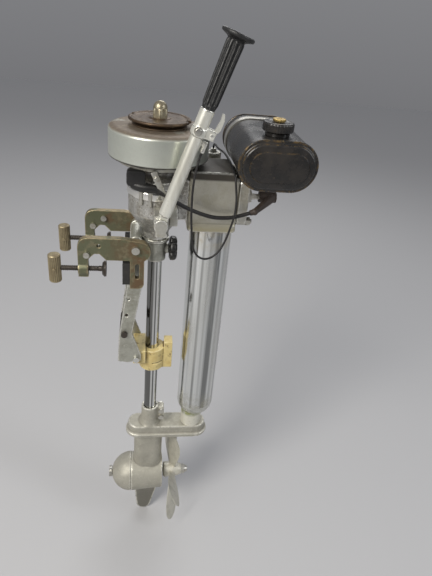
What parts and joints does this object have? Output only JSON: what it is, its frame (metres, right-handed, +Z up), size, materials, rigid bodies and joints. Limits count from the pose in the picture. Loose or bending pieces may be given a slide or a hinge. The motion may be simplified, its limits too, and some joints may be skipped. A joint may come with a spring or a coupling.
{
  "type": "outboard motor",
  "caption": "Small outboard motor: two-screw transom clamp with tilt and steering, upright crankshaft under a rope-start flywheel, oval fuel tank, folding tiller, geared propeller.",
  "frame": {"origin": "middle of the transom seat: on the cheeks' seat level, half way through the clamped board and half way between the cheeks", "axes": "+Z up along the drive tube, +X aft from the board to the propeller, +Y to starboard; the tiller is on the port side"},
  "size_m": [0.4037, 0.2209, 1.0606],
  "materials": {
    "clamp_bronze": "aged olive-bronze coating with worn edges",
    "dark_pads": "dark fibre pads",
    "pale_steel": "bright steel, lightly tarnished",
    "dark_steel": "oiled dark steel",
    "handle_bronze": "tan bronze, dull",
    "frame_alloy": "pale greenish alloy",
    "knob_black": "black moulded knob",
    "saddle_yellow": "yellow with brown dirt",
    "bright_tube": "bright plated tube",
    "cast_alloy": "sand-cast alloy, warm grey",
    "grey_casting": "matte grey casting",
    "flywheel_alloy": "turned satin rim with a rusty brown top",
    "pulley_brown": "brown bronze",
    "nut_brass": "dull brassy grey",
    "coil_black": "black moulding",
    "cap_brown": "dark brown rubber",
    "cord_black": "black sheath",
    "porcelain": "white insulator",
    "tank_black": "black with brass wear at the edges",
    "brass": "brass",
    "plunger_red": "dull red knob",
    "tiller_silver": "pale silver-cream tube",
    "grip_rubber": "black rubber, worn ribs",
    "prop_alloy": "pale grey casting"
  },
  "bodies": {
    "transom_clamp": {"clamp_cheek_port": "clamp_bronze", "clamp_cheek_starboard": "clamp_bronze", "cheek_bolts": "pale_steel", "rear_pads": "dark_pads", "tilt_pivot_bolt": "pale_steel"},
    "pad_port": {"clamp_pad_port": "dark_steel"},
    "screw_port": {"clamp_screw_port": "dark_steel", "clamp_handle_port": "handle_bronze"},
    "pad_starboard": {"clamp_pad_starboard": "dark_steel"},
    "screw_starboard": {"clamp_screw_starboard": "dark_steel", "clamp_handle_starboard": "handle_bronze"},
    "swivel_frame": {"swivel_collar": "frame_alloy", "frame_strut_port": "frame_alloy", "frame_strut_starboard": "frame_alloy", "saddle_bush": "saddle_yellow", "frame_bolts": "dark_steel"},
    "friction_knob": {"friction_knob": "knob_black"},
    "engine": {"drive_tube": "bright_tube", "crankcase": "cast_alloy", "cylinder_block": "cast_alloy", "cylinder_head": "cast_alloy", "head_studs": "pale_steel", "spark_plug": "porcelain", "plug_cap": "cap_brown", "ignition_lead": "cord_black", "ignition_coil": "coil_black", "magneto_plate": "cast_alloy", "exhaust_tube": "bright_tube", "exhaust_end": "bright_tube", "carburettor": "cast_alloy", "fuel_tank": "tank_black", "tank_bracket": "cast_alloy", "tank_strap": "pale_steel", "fuel_tap": "brass", "lower_housing": "grey_casting", "gear_case_cap": "grey_casting", "nose_plug": "pale_steel", "collar_bolts": "pale_steel", "tiller_bracket": "cast_alloy", "throttle_cable": "cord_black"},
    "crank": {"crankshaft": "pale_steel", "flywheel": "flywheel_alloy", "starter_pulley": "pulley_brown", "flywheel_nut": "nut_brass", "drive_shaft": "pale_steel", "pinion": "dark_steel"},
    "propeller": {"propeller_shaft": "pale_steel", "crown_gear": "dark_steel", "propeller": "prop_alloy", "propeller_nut": "pale_steel"},
    "piston": {"piston": "grey_casting", "gudgeon_pin": "pale_steel"},
    "connecting_rod": {"connecting_rod": "pale_steel"},
    "throttle_slide": {"throttle_slide": "pale_steel"},
    "filler_cap": {"filler_cap": "tank_black"},
    "vent_screw": {"vent_screw": "brass"},
    "tap_plunger": {"tap_plunger": "plunger_red"},
    "tiller": {"tiller_tube": "tiller_silver", "tiller_grip": "grip_rubber"},
    "throttle_lever": {"throttle_lever": "tiller_silver"}
  },
  "joints": [
    {"name": "pad_slide_port", "type": "slide", "parent": "transom_clamp", "child": "pad_port", "axis": [1, 0, 0], "range_m": [-0.0201, 0.0121]},
    {"name": "screw_turn_port", "type": "hinge", "parent": "pad_port", "child": "screw_port", "pos_m": [-0.06, -0.057, -0.018], "axis": [1, 0, 0], "range_deg": [-2400, 1440]},
    {"name": "pad_slide_starboard", "type": "slide", "parent": "transom_clamp", "child": "pad_starboard", "axis": [1, 0, 0], "range_m": [-0.0201, 0.0121]},
    {"name": "screw_turn_starboard", "type": "hinge", "parent": "pad_starboard", "child": "screw_starboard", "pos_m": [-0.06, 0.057, -0.018], "axis": [1, 0, 0], "range_deg": [-2400, 1440]},
    {"name": "tilt", "type": "hinge", "parent": "transom_clamp", "child": "swivel_frame", "pos_m": [0.034, 0, 0.02], "axis": [0, -1, 0], "range_deg": [0, 60]},
    {"name": "steer", "type": "hinge", "parent": "swivel_frame", "child": "engine", "pos_m": [0.067, 0, 0], "axis": [0, 0, 1], "range_deg": [-60, 60]},
    {"name": "friction_knob_turn", "type": "hinge", "parent": "swivel_frame", "child": "friction_knob", "pos_m": [0.097, 0, -0.005], "axis": [1, 0, 0], "range_deg": [-360, 360]},
    {"name": "crank_spin", "type": "hinge", "parent": "engine", "child": "crank", "pos_m": [0.067, 0, 0.096], "axis": [0, 0, 1], "continuous": true},
    {"name": "prop_spin", "type": "hinge", "parent": "engine", "child": "propeller", "pos_m": [0.067, 0, -0.578], "axis": [1, 0, 0], "continuous": true},
    {"name": "piston_stroke", "type": "slide", "parent": "engine", "child": "piston", "axis": [1, 0, 0], "range_m": [-0.044, 0]},
    {"name": "rod_swing", "type": "hinge", "parent": "piston", "child": "connecting_rod", "pos_m": [0.164, 0, 0.096], "axis": [0, 0, 1], "range_deg": [-17, 17]},
    {"name": "throttle_lever_turn", "type": "hinge", "parent": "tiller", "child": "throttle_lever", "pos_m": [0.13567, -0.09, 0.21454], "axis": [0, 1, 0], "range_deg": [0, 70.5]},
    {"name": "throttle_slide_lift", "type": "slide", "parent": "engine", "child": "throttle_slide", "axis": [0, 0, 1], "range_m": [0, 0.012]},
    {"name": "filler_cap_lift", "type": "slide", "parent": "engine", "child": "filler_cap", "axis": [0, 0, 1], "range_m": [0, 0.03]},
    {"name": "vent_screw_turn", "type": "hinge", "parent": "filler_cap", "child": "vent_screw", "pos_m": [0.239, -0.05, 0.225], "axis": [0, 0, 1], "range_deg": [0, 720]},
    {"name": "tap_plunger_pull", "type": "slide", "parent": "engine", "child": "tap_plunger", "axis": [1, 0, 0], "range_m": [0, 0.008]},
    {"name": "tiller_fold", "type": "hinge", "parent": "engine", "child": "tiller", "pos_m": [0.071, -0.09, 0.078], "axis": [0, -1, 0], "range_deg": [0, 96], "deforming": ["throttle_cable"]}
  ],
  "couplings": [
    {"joint": "pad_slide_port", "follows": "screw_turn_port", "m_per_rad": 0.00047746},
    {"joint": "pad_slide_starboard", "follows": "screw_turn_starboard", "m_per_rad": 0.00047746},
    {"joint": "prop_spin", "follows": "crank_spin", "ratio": 0.33333},
    {"joint": "throttle_lever_turn", "follows": "throttle_slide_lift", "rad_per_m": 101.81}
  ]
}
